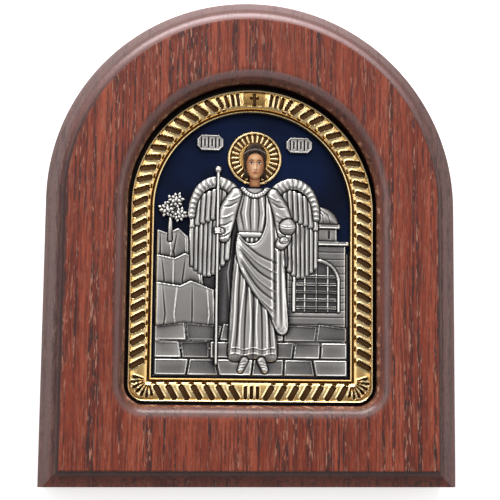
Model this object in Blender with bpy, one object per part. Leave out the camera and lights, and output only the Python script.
"""An arched wooden panel with a sunk, gilt-framed silver relief, lying on its back.

X runs across the panel, Y from its foot to the top of its arch, and Z out of its face.
The origin is the middle of the back. Every outline is the same arch: straight sides, a
half circle on top and two small round corners at the foot.
"""

import math

import bmesh
import bpy

MM = 0.001

# Wooden board
PANEL_WIDTH = 110 * MM
PANEL_HEIGHT = 130 * MM
PANEL_THICKNESS = 18 * MM
PANEL_CORNER = 0.6 * MM
BACK_EDGE_ROUND = 0.8 * MM
COVE_RUN = 4.3 * MM
COVE_DROP = 4 * MM
COVE_LAND = 1 * MM
FLAT_ARRIS = 0.35 * MM
FOOT_TRIM = 1 * MM

# Recess in the board, and its rounded lip
RECESS_WIDTH = 67 * MM
RECESS_HEIGHT = 86.3 * MM
RECESS_FOOT = 21.2 * MM
RECESS_DEPTH = 8.2 * MM
RECESS_CORNER = 5.4 * MM
LIP_RADIUS = 4.1 * MM

# Fits between the pieces
FIT_GAP = 0.3 * MM

# Backing sheet
GROUND_THICKNESS = 1 * MM
GROUND_MARGIN = 0.5 * MM

# Gilt frame
FRAME_SIDE_GAP = 0.75 * MM
FRAME_FOOT_GAP = 0.75 * MM
FRAME_TOP_GAP = 1.4 * MM
FRAME_HEIGHT = 2.4 * MM
FRAME_CORNER = 4.4 * MM
FRAME_BAND = 6.4 * MM
RIM_WIDTH = 0.75 * MM
RIBBON_WIDTH = 3.9 * MM
RIBBON_SINK = 0.45 * MM
VALLEY_DEPTH = 0.75 * MM
BEAD_WIDTH = 0.9 * MM
SLOT_DEPTH = 0.55 * MM
SLOT_WIDTH = 1.7 * MM
SLOT_PITCH = 3.07 * MM
FOOT_SLOT_PITCH = 3.3 * MM
SLOT_SLANT = math.radians(27)
FOOT_SLOT_SLANT = math.radians(30)
UPRIGHT_PITCH = 1.55 * MM
UPRIGHT_WIDTH = 0.8 * MM
TABLET_WIDTH = 5.8 * MM
CROSS_HEIGHT = 3.3 * MM
CROSS_WIDTH = 2.3 * MM
CROSS_BAR = 0.62 * MM
FAN_RAYS = 7

# Silver relief
RELIEF_MARGIN = 0.35 * MM
SHEET_THICKNESS = 0.5 * MM
STONE_JOINT = 0.5 * MM
STONE_ROW = 4.6 * MM
FIGURE_X = 0.4 * MM
FIGURE_FOOT_GAP = 2.45 * MM
COLLAR_GAP = 0.885 * MM
SHOULDER_SHARE = 0.795
FIGURE_UNITS = 61

# Halo, plates and head
HALO_DIAMETER = 14.7 * MM
HALO_TOP_GAP = 4.82 * MM
HALO_THICKNESS = 0.8 * MM
HALO_RIM = 0.75 * MM
HALO_SLOTS = 26
PLATE_WIDTH = 7.2 * MM
PLATE_HEIGHT = 4.4 * MM
PLATE_THICKNESS = 0.8 * MM
PLATE_STROKE = 0.32 * MM
HEAD_HEIGHT = 9 * MM
HEAD_WIDTH = 6.4 * MM

# Facets
ARCH_FACETS = 36
CORNER_FACETS = 4

# Places that follow from the sizes above
HALF_HEIGHT = PANEL_HEIGHT / 2
COVE_TOTAL = COVE_LAND + COVE_RUN
RECESS_BOTTOM = -HALF_HEIGHT + RECESS_FOOT
FLOOR_Z = PANEL_THICKNESS - RECESS_DEPTH
GROUND_Z = FLOOR_Z + FIT_GAP
GROUND_TOP = GROUND_Z + GROUND_THICKNESS
INSERT_Z = GROUND_TOP + FIT_GAP
FRAME_HALF = RECESS_WIDTH / 2 - FRAME_SIDE_GAP
FRAME_BOTTOM = RECESS_BOTTOM + FRAME_FOOT_GAP
FRAME_TOP = RECESS_BOTTOM + RECESS_HEIGHT - FRAME_TOP_GAP
FRAME_SPRING = FRAME_TOP - FRAME_HALF
FRAME_Z = INSERT_Z + FRAME_HEIGHT
WINDOW_HALF = FRAME_HALF - FRAME_BAND
WINDOW_BOTTOM = FRAME_BOTTOM + FRAME_BAND
WINDOW_TOP = FRAME_TOP - FRAME_BAND
HALO_X = FIGURE_X
HALO_Y = WINDOW_TOP - HALO_TOP_GAP - HALO_DIAMETER / 2

# The figure stands between the window's foot and the halo, and it sets the scene's unit
FIGURE_FOOT = WINDOW_BOTTOM + FIGURE_FOOT_GAP
COLLAR_Y = HALO_Y - HALO_DIAMETER / 2 - COLLAR_GAP
FIGURE_HEIGHT = (COLLAR_Y - FIGURE_FOOT) / SHOULDER_SHARE
UNIT = FIGURE_HEIGHT / FIGURE_UNITS

SHEET_Z = INSERT_Z + SHEET_THICKNESS
HALO_Z = INSERT_Z + HALO_THICKNESS
HEAD_Z = HALO_Z + FIT_GAP


def clear_scene():
    for obj in list(bpy.data.objects):
        bpy.data.objects.remove(obj, do_unlink=True)


def material(name, colour, roughness, metallic=0.0):
    made = bpy.data.materials.new(name)
    made.use_nodes = True
    shader = made.node_tree.nodes["Principled BSDF"]
    shader.inputs["Base Color"].default_value = (*colour, 1.0)
    shader.inputs["Roughness"].default_value = roughness
    shader.inputs["Metallic"].default_value = metallic
    return made


def arch(half_width, bottom, top, corner, inset=0.0):
    """The arch outline, counter-clockwise from the left foot corner, moved inwards by inset."""
    half_width -= inset
    bottom += inset
    top -= inset
    corner = max(corner - inset, 0.1 * MM)
    spring = top - half_width
    points = []
    for side, start in ((-1, math.pi), (1, 1.5 * math.pi)):
        for i in range(CORNER_FACETS + 1):
            turn = start + i * math.pi / 2 / CORNER_FACETS
            x = side * (half_width - corner) + corner * math.cos(turn)
            points.append((x, bottom + corner + corner * math.sin(turn)))
    for i in range(ARCH_FACETS + 1):
        turn = i * math.pi / ARCH_FACETS
        points.append((half_width * math.cos(turn), spring + half_width * math.sin(turn)))
    return points


def loft(rings, closed=True):
    """A mesh through rings of equally many 3-D points, with a cap on the first and the last."""
    mesh = bmesh.new()
    made = [[mesh.verts.new(point) for point in ring] for ring in rings]
    count = len(made[0])
    for low, high in zip(made, made[1:]):
        for i in range(count):
            j = (i + 1) % count
            mesh.faces.new((low[i], low[j], high[j], high[i]))
    if closed:
        mesh.faces.new(reversed(made[0]))
        mesh.faces.new(made[-1])
    bmesh.ops.recalc_face_normals(mesh, faces=mesh.faces)
    return mesh


def flat_ring(points, z):
    return [(x, y, z) for x, y in points]


def prism(points, z_low, z_high, chamfer=0.0):
    """An upright prism on a convex outline, its top edge drawn in by the chamfer."""
    if not chamfer:
        return loft([flat_ring(points, z_low), flat_ring(points, z_high)])
    cx = sum(x for x, y in points) / len(points)
    cy = sum(y for x, y in points) / len(points)
    reach = sum(math.hypot(x - cx, y - cy) for x, y in points) / len(points)
    keep = max(1 - chamfer / reach, 0.2)
    inner = [(cx + (x - cx) * keep, cy + (y - cy) * keep) for x, y in points]
    middle = z_high - min(chamfer, 0.7 * (z_high - z_low))
    return loft([flat_ring(points, z_low), flat_ring(points, middle), flat_ring(inner, z_high)])


def turned(points, x, y, angle):
    """Points turned by an angle, then moved to a place."""
    c, s = math.cos(angle), math.sin(angle)
    return [(x + c * px - s * py, y + s * px + c * py) for px, py in points]


def leaf(length, width):
    """A slot's outline: two long sides with a blunt point at each end."""
    a, b = length / 2, width / 2
    return [(-a, 0), (-0.72 * a, -b), (0.72 * a, -b), (a, 0), (0.72 * a, b), (-0.72 * a, b)]


def ridge(start, end, width, z_low, height, taper=0.5):
    """A roof-shaped fold or feather between two places, pointed at its ends."""
    length = math.hypot(end[0] - start[0], end[1] - start[1])
    angle = math.atan2(end[1] - start[1], end[0] - start[0])
    half = width / 2
    foot = [(0, -half * taper), (0.3 * length, -half), (length, -half * taper)]
    foot += [(length, half * taper), (0.3 * length, half), (0, half * taper)]
    mesh = bmesh.new()
    base = [mesh.verts.new((x, y, z_low)) for x, y in turned(foot, *start, angle)]
    crest = [(0.06 * length, 0.8), (0.3 * length, 1.0), (0.94 * length, 0.7)]
    top = []
    for along, share in crest:
        x, y = turned([(along, 0)], *start, angle)[0]
        top.append(mesh.verts.new((x, y, z_low + height * share)))
    mesh.faces.new(reversed(base))
    mesh.faces.new((base[0], base[1], top[1], top[0]))
    mesh.faces.new((base[1], base[2], top[2], top[1]))
    mesh.faces.new((base[2], base[3], top[2]))
    mesh.faces.new((base[3], base[4], top[1], top[2]))
    mesh.faces.new((base[4], base[5], top[0], top[1]))
    mesh.faces.new((base[5], base[0], top[0]))
    return mesh


def blob(x, y, half_width, half_height, z_low, height, angle=0.0, sides=12):
    """A low dome on an elliptical foot."""
    rings = []
    for share in (0.0, 0.45, 0.8):
        out = math.sqrt(1 - share ** 2)
        ring = []
        for i in range(sides):
            turn = 2 * math.pi * i / sides
            ring.append((out * half_width * math.cos(turn), out * half_height * math.sin(turn)))
        rings.append(flat_ring(turned(ring, x, y, angle), z_low + share * height))
    mesh = loft(rings, closed=False)
    made = list(mesh.verts)
    top = mesh.verts.new((x, y, z_low + height))
    last = made[2 * sides:]
    for i in range(sides):
        mesh.faces.new((last[i], last[(i + 1) % sides], top))
    mesh.faces.new(reversed(made[:sides]))
    bmesh.ops.recalc_face_normals(mesh, faces=mesh.faces)
    return mesh


def limb(places, z_low, facets=4):
    """A half-round form along places of (x, y, half width, height)."""
    rings = []
    for i, (x, y, half, height) in enumerate(places):
        before = places[max(i - 1, 0)]
        after = places[min(i + 1, len(places) - 1)]
        along = math.atan2(after[1] - before[1], after[0] - before[0])
        across = (-math.sin(along), math.cos(along))
        ring = []
        for j in range(facets + 1):
            turn = math.pi * j / facets
            out = -half * math.cos(turn)
            up = height * math.sin(turn)
            ring.append((x + out * across[0], y + out * across[1], z_low + up))
        rings.append(ring)
    return loft(rings)


def robe(stations, z_low, folds, fold_height):
    """A draped body: at each station of (y, left, right, height) a rounded section with folds."""
    columns = 2 * folds + 1
    rings = []
    for y, left, right, height in stations:
        ring = [(left, y, z_low)]
        for j in range(columns):
            share = (j + 1) / (columns + 1)
            x = left + (right - left) * share
            fold = fold_height if j % 2 == 0 else 0.0
            ring.append((x, y, z_low + height * math.sin(math.pi * share) ** 0.5 - fold))
        ring.append((right, y, z_low))
        rings.append(ring)
    return loft(rings)


def into_object(name, mesh, finish):
    data = bpy.data.meshes.new(name)
    mesh.to_mesh(data)
    mesh.free()
    data.materials.append(finish)
    made = bpy.data.objects.new(name, data)
    bpy.context.scene.collection.objects.link(made)
    return made


def apply_boolean(obj, other, operation, solver):
    modifier = obj.modifiers.new(operation.title(), "BOOLEAN")
    modifier.operation = operation
    modifier.solver = solver
    modifier.object = other
    graph = bpy.context.evaluated_depsgraph_get()
    result = bpy.data.meshes.new_from_object(obj.evaluated_get(graph))
    obj.modifiers.remove(modifier)
    old = obj.data
    obj.data = result
    bpy.data.meshes.remove(old)
    bpy.data.objects.remove(other, do_unlink=True)


def joined(name, meshes, finish):
    """One object from overlapping closed forms, whose feet lie in one plane, by unions.

    The exact solver leaves open edges where that many feet share a plane.
    """
    made = into_object(name, meshes[0], finish)
    for i, mesh in enumerate(meshes[1:]):
        apply_boolean(made, into_object(f"{name}_form_{i}", mesh, finish), "UNION", "MANIFOLD")
    return made


def cut(obj, meshes, finish):
    """Cuts forms that don't touch each other out of an object, in one go."""
    tool = bmesh.new()
    for mesh in meshes:
        data = bpy.data.meshes.new("cutter_form")
        mesh.to_mesh(data)
        mesh.free()
        tool.from_mesh(data)
        bpy.data.meshes.remove(data)
    apply_boolean(obj, into_object(f"{obj.name}_cutter", tool, finish), "DIFFERENCE", "EXACT")


def smooth(obj, degrees=35):
    obj.data.shade_smooth()
    obj.data.set_sharp_from_angle(angle=math.radians(degrees))


def make_panel():
    """The board: back edge, straight side, cove moulding, flat face, rounded lip, recess."""
    wood = material("stained wood", (0.22, 0.055, 0.035), 0.3)
    half = PANEL_WIDTH / 2
    foot = -HALF_HEIGHT - FOOT_TRIM
    top_z = PANEL_THICKNESS
    section = [(BACK_EDGE_ROUND, 0.0), (0.0, BACK_EDGE_ROUND), (0.0, top_z - COVE_DROP)]
    cove_facets = 4
    for i in range(cove_facets):
        turn = math.pi / 2 * (1 - i / cove_facets)
        drop = FLAT_ARRIS + (COVE_DROP - FLAT_ARRIS) * math.sin(turn)
        section.append((COVE_LAND + COVE_RUN * math.cos(turn), top_z - drop))
    section.append((COVE_TOTAL, top_z - FLAT_ARRIS))
    section.append((COVE_TOTAL + FLAT_ARRIS, top_z))
    rings = [flat_ring(arch(half, foot, HALF_HEIGHT, PANEL_CORNER, inset), z) for inset, z in section]
    lip_facets = 3
    lip_half = RECESS_WIDTH / 2 + LIP_RADIUS
    lip_bottom = RECESS_BOTTOM - LIP_RADIUS
    lip_top = RECESS_BOTTOM + RECESS_HEIGHT + LIP_RADIUS
    for i in range(lip_facets + 1):
        turn = math.pi / 2 * i / lip_facets
        inset = LIP_RADIUS * math.sin(turn)
        z = top_z - LIP_RADIUS * (1 - math.cos(turn))
        outline = arch(lip_half, lip_bottom, lip_top, RECESS_CORNER + LIP_RADIUS, inset)
        rings.append(flat_ring(outline, z))
    rings.append(flat_ring(outline, FLOOR_Z))
    mesh = loft(rings)
    # The foot is planed flat across the moulding.
    everything = list(mesh.verts) + list(mesh.edges) + list(mesh.faces)
    bmesh.ops.bisect_plane(
        mesh, geom=everything, plane_co=(0, -HALF_HEIGHT, 0), plane_no=(0, -1, 0), clear_outer=True
    )
    open_edges = [edge for edge in mesh.edges if edge.is_boundary]
    bmesh.ops.holes_fill(mesh, edges=open_edges, sides=0)
    bmesh.ops.recalc_face_normals(mesh, faces=mesh.faces)
    smooth(into_object("wood_panel", mesh, wood))


def make_ground():
    blue = material("blue ground", (0.008, 0.013, 0.045), 0.55)
    outline = arch(FRAME_HALF, FRAME_BOTTOM, FRAME_TOP, FRAME_CORNER, GROUND_MARGIN)
    mesh = loft([flat_ring(outline, GROUND_Z), flat_ring(outline, GROUND_TOP)])
    into_object("blue_ground", mesh, blue)


def frame_section():
    """The frame's profile as (inset, z): outer rim, valley, ribbon, valley, bead, inner wall."""
    low = FRAME_Z - VALLEY_DEPTH
    ribbon_start = RIM_WIDTH + 0.15 * MM
    ribbon_end = ribbon_start + RIBBON_WIDTH
    ribbon_z = FRAME_Z - RIBBON_SINK
    bead_end = ribbon_end + 0.15 * MM + BEAD_WIDTH
    return [
        (0.0, INSERT_Z),
        (0.0, FRAME_Z - 0.25 * MM),
        (0.3 * RIM_WIDTH, FRAME_Z),
        (0.7 * RIM_WIDTH, FRAME_Z),
        (RIM_WIDTH, low),
        (ribbon_start + 0.2 * RIBBON_WIDTH, ribbon_z),
        (ribbon_end - 0.2 * RIBBON_WIDTH, ribbon_z),
        (ribbon_end, low),
        (ribbon_end + 0.15 * MM + 0.3 * BEAD_WIDTH, FRAME_Z - 0.35 * MM),
        (bead_end, low),
        (FRAME_BAND, INSERT_Z + 0.35 * MM),
        (FRAME_BAND, INSERT_Z),
    ]


def make_frame():
    gold = material("gilding", (0.83, 0.56, 0.22), 0.22, 1.0)
    rings = [
        flat_ring(arch(FRAME_HALF, FRAME_BOTTOM, FRAME_TOP, FRAME_CORNER, inset), z)
        for inset, z in frame_section()
    ]
    mesh = loft(rings + [rings[0]], closed=False)
    bmesh.ops.remove_doubles(mesh, verts=mesh.verts, dist=0.001 * MM)
    bmesh.ops.recalc_face_normals(mesh, faces=mesh.faces)
    frame = into_object("gilt_frame", mesh, gold)
    cut(frame, frame_slots(), gold)
    smooth(frame)


def slot(outline):
    low = FRAME_Z - RIBBON_SINK - SLOT_DEPTH
    return prism(outline, low, FRAME_Z + 1 * MM)


def frame_slots():
    """The rope slots, upright slots, corner fans and cross, as cutters that don't touch."""
    slots = []
    middle = RIM_WIDTH + 0.15 * MM + RIBBON_WIDTH / 2
    long_slot = leaf(0.92 * RIBBON_WIDTH / math.cos(SLOT_SLANT), SLOT_WIDTH)
    corner_end = FRAME_BOTTOM + FRAME_BAND + 1.2 * MM
    count = int((FRAME_SPRING - corner_end) / SLOT_PITCH) + 1
    for side in (-1, 1):
        for i in range(count):
            y = FRAME_SPRING - (i + 0.5) * SLOT_PITCH
            if y > corner_end:
                slots.append(turned(long_slot, side * (FRAME_HALF - middle), y, -side * SLOT_SLANT))
    # Round the arch the slots turn with it, up to the upright ones by the tablet.
    radius = FRAME_HALF - middle
    group = TABLET_WIDTH / 2 + 3.6 * UPRIGHT_PITCH
    arch_end = math.pi / 2 - (group + 0.6 * SLOT_PITCH) / radius
    count = int(arch_end * radius / SLOT_PITCH)
    step = arch_end / count
    for side in (-1, 1):
        for i in range(count):
            turn = (i + 0.5) * step
            x = side * radius * math.cos(turn)
            y = FRAME_SPRING + radius * math.sin(turn)
            slots.append(turned(long_slot, x, y, side * (turn - SLOT_SLANT)))
        for i in range(3):
            turn = math.pi / 2 - (TABLET_WIDTH / 2 + (i + 0.9) * UPRIGHT_PITCH) / radius
            x = side * radius * math.cos(turn)
            y = FRAME_SPRING + radius * math.sin(turn)
            slots.append(turned(leaf(0.9 * RIBBON_WIDTH, UPRIGHT_WIDTH), x, y, side * turn))
    # Along the foot they lean outwards from three upright ones.
    foot_y = FRAME_BOTTOM + middle
    for i in (-1, 0, 1):
        upright = leaf(0.9 * RIBBON_WIDTH, UPRIGHT_WIDTH)
        slots.append(turned(upright, i * UPRIGHT_PITCH, foot_y, math.pi / 2))
    foot_slot = leaf(0.88 * RIBBON_WIDTH / math.cos(FOOT_SLOT_SLANT), SLOT_WIDTH)
    start = 2.2 * UPRIGHT_PITCH + 0.35 * FOOT_SLOT_PITCH
    count = int((FRAME_HALF - FRAME_BAND - start - 0.6 * MM) / FOOT_SLOT_PITCH) + 1
    for side in (-1, 1):
        for i in range(count):
            x = side * (start + i * FOOT_SLOT_PITCH)
            slots.append(turned(foot_slot, x, foot_y, math.pi / 2 - side * FOOT_SLOT_SLANT))
    # Fans of rays open from the inner corners.
    for side in (-1, 1):
        hub_x = side * (FRAME_HALF - FRAME_BAND + 0.7 * MM)
        hub_y = FRAME_BOTTOM + FRAME_BAND - 0.7 * MM
        for i in range(FAN_RAYS):
            turn = math.radians(4 + 82 * i / (FAN_RAYS - 1))
            reach = 4.4 * MM if i not in (0, FAN_RAYS - 1) else 3.9 * MM
            ray = [(1.5 * MM, -0.12 * MM), (reach, -0.26 * MM), (reach, 0.26 * MM), (1.5 * MM, 0.12 * MM)]
            angle = -turn if side > 0 else math.pi + turn
            slots.append(turned(ray, hub_x, hub_y, angle))
    meshes = [slot(outline) for outline in slots]
    meshes.append(cross(0.0, FRAME_TOP - middle))
    return meshes


def cross(x, y):
    """A small plain cross, sunk into the tablet at the crown."""
    b = CROSS_BAR / 2
    low, high = -0.58 * CROSS_HEIGHT, 0.42 * CROSS_HEIGHT
    arm = CROSS_WIDTH / 2
    outline = [(-b, low), (b, low), (b, -b), (arm, -b), (arm, b), (b, b)]
    outline += [(b, high), (-b, high), (-b, b), (-arm, b), (-arm, -b), (-b, -b)]
    return slot(turned(outline, x, y, 0.0))


def figure_y(share):
    """A height on the standing figure, as a share of it from the soles up."""
    return FIGURE_FOOT + share * FIGURE_HEIGHT


def stones():
    """Rows of irregular paving stones across the foot of the scene."""
    made = []
    left = -WINDOW_HALF + RELIEF_MARGIN + 0.4 * UNIT
    width = 2 * (WINDOW_HALF - RELIEF_MARGIN) - 0.8 * UNIT
    bottom = WINDOW_BOTTOM + RELIEF_MARGIN + 0.4 * UNIT
    counts = (6, 7, 6)
    rows = len(counts)
    row_height = STONE_ROW
    for row, count in enumerate(counts):
        y = bottom + row * row_height
        for i in range(count):
            lean = 0.9 * UNIT * math.sin(2.3 * i + 1.7 * row)
            next_lean = 0.9 * UNIT * math.sin(2.3 * (i + 1) + 1.7 * row)
            x0 = left + width * i / count
            x1 = left + width * (i + 1) / count
            x0_top = x0 + (lean if i else 0.0)
            x1_top = x1 + (next_lean if i < count - 1 else 0.0)
            joint = STONE_JOINT / 2
            high = y + row_height - joint
            rise = 0.5 * UNIT * math.sin(1.9 * i + row) if row == rows - 1 else 0.0
            block = [(x0 + joint, y + joint), (x1 - joint, y + joint)]
            block += [(x1_top - joint, high + rise), (x0_top + joint, high - rise)]
            height = (0.55 + 0.12 * math.sin(3.1 * i + row)) * UNIT
            made.append(prism(block, INSERT_Z, SHEET_Z + height, 0.35 * UNIT))
    return made


def chapel():
    """A small domed chapel on the right: wall, cornice, door, drum and dome."""
    x = 0.66 * WINDOW_HALF
    half = 0.3 * WINDOW_HALF
    foot = figure_y(0.1)
    eaves = figure_y(0.55)
    made = [prism([(x - half, foot), (x + half, foot), (x + half, eaves), (x - half, eaves)],
                  INSERT_Z, SHEET_Z + 0.5 * UNIT, 0.2 * UNIT)]
    for y, grow in ((eaves, 0.7 * UNIT), (eaves + 4.6 * UNIT, -1.6 * UNIT)):
        wide = half + grow
        made.append(prism([(x - wide, y - 0.2 * UNIT), (x + wide, y - 0.2 * UNIT),
                           (x + wide, y + 0.9 * UNIT), (x - wide, y + 0.9 * UNIT)],
                          INSERT_Z, SHEET_Z + 0.95 * UNIT, 0.2 * UNIT))
    drum = half - 2.4 * UNIT
    made.append(prism([(x - drum, eaves), (x + drum, eaves), (x + drum, eaves + 5 * UNIT),
                       (x - drum, eaves + 5 * UNIT)], INSERT_Z, SHEET_Z + 0.6 * UNIT, 0.2 * UNIT))
    dome = []
    for i in range(9):
        turn = math.pi * i / 8
        out, up = math.cos(turn), math.sin(turn)
        dome.append((x + (drum + 0.5 * UNIT) * out, eaves + (5.2 + 5.2 * up) * UNIT))
    made.append(prism(dome, INSERT_Z, SHEET_Z + 1 * UNIT, 0.7 * UNIT))
    finial_foot, finial_top = (x, eaves + 9.4 * UNIT), (x, eaves + 12.8 * UNIT)
    made.append(ridge(finial_foot, finial_top, 0.8 * UNIT, INSERT_Z, 1.1 * UNIT, 0.8))
    # The door is a raised arch with bars across it.
    door = half - 2.2 * UNIT
    sill = figure_y(0.25)
    head = figure_y(0.38)
    outline = [(x - door, sill), (x + door, sill)]
    for i in range(7):
        turn = math.pi * i / 6
        outline.append((x + door * math.cos(turn), head + door * math.sin(turn)))
    made.append(prism(outline, INSERT_Z, SHEET_Z + 0.8 * UNIT, 0.3 * UNIT))
    for i in range(3):
        bar_x = x + (i - 1) * 0.62 * door
        made.append(ridge((bar_x, sill + 0.3 * UNIT), (bar_x, head + 0.7 * door), 0.7 * UNIT,
                          SHEET_Z + 0.5 * UNIT, 0.65 * UNIT, 0.9))
    return made


def hill():
    """Stepped rock ledges on the left, with a small tree on top."""
    made = []
    left = -WINDOW_HALF + RELIEF_MARGIN + 0.3 * UNIT
    ledges = ((0.08, 0.38, 1.0, 0.55), (0.26, 0.5, 0.8, 0.8), (0.4, 0.61, 0.56, 1.05))
    for low, high, reach, height in ledges:
        right = left + reach * 0.62 * WINDOW_HALF
        y0, y1 = figure_y(low), figure_y(high)
        middle = (left + right) / 2
        outline = [(left, y0), (right, y0), (right - 0.6 * UNIT, y1 - 2.4 * UNIT)]
        outline += [(middle + 1.2 * UNIT, y1), (middle - 1.6 * UNIT, y1 - 1.4 * UNIT)]
        outline.append((left, y1 - 0.5 * UNIT))
        made.append(prism(outline, INSERT_Z, SHEET_Z + height * UNIT, 0.45 * UNIT))
        for i in range(3):
            x = left + (i + 0.6) * (right - left) / 3.4
            start = (x, y1 - 2.6 * UNIT)
            end = (x + 0.8 * UNIT, y0 + 1.5 * UNIT)
            made.append(ridge(start, end, 1.3 * UNIT, SHEET_Z + (height - 0.15) * UNIT, 0.5 * UNIT))
    trunk_x = left + 3.6 * UNIT
    base = figure_y(0.59)
    trunk = [(trunk_x, base - 2 * UNIT, 0.8 * UNIT, 1.1 * UNIT),
             (trunk_x - 0.3 * UNIT, base + 3 * UNIT, 0.5 * UNIT, UNIT),
             (trunk_x + 0.2 * UNIT, base + 6.4 * UNIT, 0.4 * UNIT, 0.9 * UNIT)]
    made.append(limb(trunk, INSERT_Z))
    for dx, dy, r in ((-0.9, 6.2, 2.4), (2.3, 5.0, 2.1), (1.3, 8.7, 2.3)):
        crown_x, crown_y = trunk_x + dx * UNIT, base + dy * UNIT
        made.append(blob(crown_x, crown_y, r * UNIT, 0.85 * r * UNIT, INSERT_Z, 1.5 * UNIT, 0.2, 10))
    return made


def wings():
    """A pair of half-folded wings: a rounded shoulder and long feathers hanging from it."""
    made = []
    root = figure_y(0.775)
    for side in (-1, 1):
        x0 = FIGURE_X + side * 6.2 * UNIT
        shoulder = [(x0 - side * 2 * UNIT, root - 1.5 * UNIT, 1.8 * UNIT, 1.35 * UNIT),
                    (x0 + side * 3.4 * UNIT, root + 2.3 * UNIT, 2 * UNIT, 1.6 * UNIT),
                    (x0 + side * 8.2 * UNIT, root + 0.4 * UNIT, 2.1 * UNIT, 1.5 * UNIT),
                    (x0 + side * 10.2 * UNIT, root - 5.6 * UNIT, 1.7 * UNIT, 1.2 * UNIT)]
        made.append(limb(shoulder, INSERT_Z))
        for i in range(7):
            share = i / 6
            start = (x0 + side * (0.6 + 9.6 * share) * UNIT, root - (0.2 + 3.6 * share ** 2) * UNIT)
            length = (17.5 + 4.5 * math.sin(math.pi * share)) * UNIT
            end = (start[0] + side * 0.8 * UNIT * (1 - share), start[1] - length + 2 * UNIT * share)
            made.append(ridge(start, end, 2.3 * UNIT, INSERT_Z, (1.35 - 0.2 * share) * UNIT, 0.45))
    return made


def figure():
    """The standing robed figure: tunic, cloak, sleeves, hands, staff, orb and shoes."""
    x = FIGURE_X
    made = []
    tunic = [
        (figure_y(0.045), x - 6.6 * UNIT, x + 6.4 * UNIT, 1.45 * UNIT),
        (figure_y(0.16), x - 6.5 * UNIT, x + 6.3 * UNIT, 1.75 * UNIT),
        (figure_y(0.34), x - 5.9 * UNIT, x + 5.8 * UNIT, 1.95 * UNIT),
        (figure_y(0.5), x - 5.0 * UNIT, x + 5.0 * UNIT, 2.0 * UNIT),
        (figure_y(0.585), x - 4.1 * UNIT, x + 4.1 * UNIT, 1.9 * UNIT),
        (figure_y(0.68), x - 5.2 * UNIT, x + 5.2 * UNIT, 2.1 * UNIT),
        (figure_y(0.76), x - 6.4 * UNIT, x + 6.4 * UNIT, 1.9 * UNIT),
        (COLLAR_Y, x - 3.6 * UNIT, x + 3.6 * UNIT, 1.5 * UNIT),
    ]
    made.append(robe(tunic, INSERT_Z, 6, 0.35 * UNIT))
    # The cloak falls from one shoulder across the body and ends in a slanting hem.
    cloak = [
        (x + 4.6 * UNIT, figure_y(0.765), 2.3 * UNIT, 2.0 * UNIT),
        (x + 5.4 * UNIT, figure_y(0.62), 2.6 * UNIT, 2.2 * UNIT),
        (x + 5.6 * UNIT, figure_y(0.42), 3 * UNIT, 2.1 * UNIT),
        (x + 6.2 * UNIT, figure_y(0.2), 3.1 * UNIT, 1.8 * UNIT),
    ]
    made.append(limb(cloak, INSERT_Z, 6))
    for i in range(4):
        start = (x - (4.2 - 0.5 * i) * UNIT, figure_y(0.6 - 0.075 * i))
        end = (x + (5.4 - 0.2 * i) * UNIT, figure_y(0.55 - 0.1 * i))
        made.append(ridge(start, end, 1.6 * UNIT, SHEET_Z + 0.9 * UNIT, 0.85 * UNIT, 0.6))
    for side, hand_x, hand_y in ((-1, 9.1, 0.6), (1, 8.0, 0.565)):
        sleeve = [
            (x + side * 5.2 * UNIT, figure_y(0.76), 1.9 * UNIT, 2.1 * UNIT),
            (x + side * 7.6 * UNIT, figure_y(0.66), 2.1 * UNIT, 2.2 * UNIT),
            (x + side * 8.2 * UNIT, figure_y(0.575), 2.1 * UNIT, 2.1 * UNIT),
            (x + side * (hand_x - 1.4) * UNIT, figure_y(hand_y - 0.015), 1.5 * UNIT, 2.0 * UNIT),
        ]
        made.append(limb(sleeve, INSERT_Z, 5))
        palm_x, palm_y = x + side * hand_x * UNIT, figure_y(hand_y)
        made.append(blob(palm_x, palm_y, 1.3 * UNIT, 1.1 * UNIT, INSERT_Z, 2.1 * UNIT, 0.0, 8))
    staff_x = x - 9.9 * UNIT
    staff_foot, staff_top = (staff_x, figure_y(0.02)), (staff_x, figure_y(0.865))
    made.append(ridge(staff_foot, staff_top, 0.9 * UNIT, INSERT_Z, 2.0 * UNIT, 1.0))
    made.append(blob(staff_x, figure_y(0.875), 0.95 * UNIT, 0.95 * UNIT, INSERT_Z, 1.9 * UNIT, 0.0, 8))
    orb_x, orb_y, orb = x + 8.9 * UNIT, figure_y(0.625), 2.5 * UNIT
    made.append(blob(orb_x, orb_y, orb, orb, INSERT_Z, 2.2 * UNIT, 0.0, 14))
    for side in (-1, 1):
        shoe = [(x + side * 2.2 * UNIT, figure_y(0.06), 1.2 * UNIT, 1.5 * UNIT),
                (x + side * 2.9 * UNIT, figure_y(0.02), 1.4 * UNIT, 1.6 * UNIT),
                (x + side * 3.5 * UNIT, figure_y(-0.012), 0.9 * UNIT, 1.1 * UNIT)]
        made.append(limb(shoe, INSERT_Z))
    return made


def scene_sheet():
    """The thin sheet that carries the scene, cut to the skyline above and to the window below."""
    half = WINDOW_HALF - RELIEF_MARGIN
    bottom = WINDOW_BOTTOM + RELIEF_MARGIN
    outline = [(-half, bottom), (half, bottom), (half, figure_y(0.51)), (0.86 * half, figure_y(0.55))]
    outline += [(0.3 * half, figure_y(0.66)), (-0.3 * half, figure_y(0.66))]
    outline += [(-0.62 * half, figure_y(0.56)), (-half, figure_y(0.55))]
    return prism(outline, INSERT_Z, SHEET_Z)


def make_relief():
    silver = material("oxidised silver", (0.36, 0.34, 0.32), 0.38, 1.0)
    forms = [scene_sheet()] + stones() + hill() + chapel() + wings() + figure()
    smooth(joined("silver_relief", forms, silver), 30)


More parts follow.
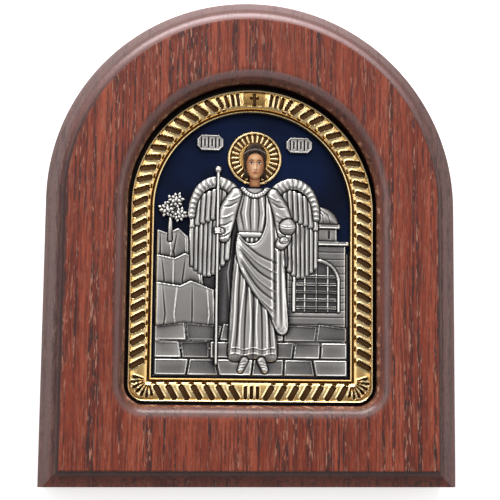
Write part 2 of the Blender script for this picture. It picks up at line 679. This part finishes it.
def make_halo():
    """A flat disc with a raised rim and radial slots."""
    gold = material("halo gilding", (0.86, 0.66, 0.34), 0.24, 1.0)
    radius = HALO_DIAMETER / 2
    sides = 36
    section = [(radius, INSERT_Z), (radius, HALO_Z - 0.15 * MM), (radius - 0.3 * HALO_RIM, HALO_Z)]
    section += [(radius - HALO_RIM, HALO_Z), (radius - HALO_RIM - 0.1 * MM, HALO_Z - 0.25 * MM)]
    rings = []
    for reach, z in section:
        ring = []
        for i in range(sides):
            turn = 2 * math.pi * i / sides
            ring.append((HALO_X + reach * math.cos(turn), HALO_Y + reach * math.sin(turn), z))
        rings.append(ring)
    halo = into_object("gilt_halo", loft(rings), gold)
    cutters = []
    for i in range(HALO_SLOTS):
        turn = 2 * math.pi * (i + 0.5) / HALO_SLOTS
        inner, outer = 0.6 * radius, radius - HALO_RIM - 0.35 * MM
        ray = [(inner, -0.16 * MM), (outer, -0.32 * MM), (outer, 0.32 * MM), (inner, 0.16 * MM)]
        cutters.append(prism(turned(ray, HALO_X, HALO_Y, turn), INSERT_Z + 0.25 * MM, HALO_Z + 1 * MM))
    cut(halo, cutters, gold)
    smooth(halo)


def make_plates():
    """Two small plates with clipped corners, each with three groups of plain strokes."""
    silver = material("plate silver", (0.42, 0.4, 0.38), 0.35, 1.0)
    centre_y = HALO_Y + 0.27 * HALO_DIAMETER
    for name, side in (("left_title_plate", -1), ("right_title_plate", 1)):
        x = HALO_X + side * 0.825 * HALO_DIAMETER
        a, b, clip = PLATE_WIDTH / 2, PLATE_HEIGHT / 2, 1.2 * MM
        outline = [(-a + clip, -b), (a - clip, -b), (a, -b + clip), (a, b - clip)]
        outline += [(a - clip, b), (-a + clip, b), (-a, b - clip), (-a, -b + clip)]
        shape = prism(turned(outline, x, centre_y, 0.0), INSERT_Z, INSERT_Z + PLATE_THICKNESS, 0.2 * MM)
        plate = into_object(name, shape, silver)
        stroke = PLATE_STROKE / 2
        cutters = []
        for i in range(6):
            across = (i - 2.5) * 0.135 * PLATE_WIDTH
            reach = (0.3 if i % 2 == 0 else 0.2) * PLATE_HEIGHT
            mark = [(across - stroke, -reach), (across + stroke, -reach)]
            mark += [(across + stroke, reach), (across - stroke, reach)]
            cutters.append(prism(turned(mark, x, centre_y, 0.0), INSERT_Z + 0.5 * PLATE_THICKNESS,
                                 INSERT_Z + 2 * PLATE_THICKNESS))
        cut(plate, cutters, silver)


def make_head():
    """The painted head: hair, face and neck as low domes."""
    paint = material("painted head", (0.62, 0.38, 0.24), 0.4)
    centre_y = HALO_Y - 0.6 * MM
    half_width, half_height = HEAD_WIDTH / 2, HEAD_HEIGHT / 2
    neck_foot = COLLAR_Y + FIT_GAP
    hair_y, face_y = centre_y + 0.12 * HEAD_HEIGHT, centre_y - 0.1 * HEAD_HEIGHT
    hair = blob(HALO_X, hair_y, half_width, 0.8 * half_height, HEAD_Z, 0.28 * half_width, 0.0, 16)
    neck = limb([(HALO_X, neck_foot, 0.4 * half_width, 0.16 * half_width),
                 (HALO_X, centre_y - 0.4 * half_height, 0.45 * half_width, 0.19 * half_width)], HEAD_Z, 6)
    face = blob(HALO_X, face_y, 0.74 * half_width, 0.76 * half_height, HEAD_Z, 0.39 * half_width, 0.0, 16)
    smooth(joined("painted_head", [hair, neck, face], paint), 50)


def main():
    clear_scene()
    make_panel()
    make_ground()
    make_frame()
    make_relief()
    make_halo()
    make_plates()
    make_head()


main()
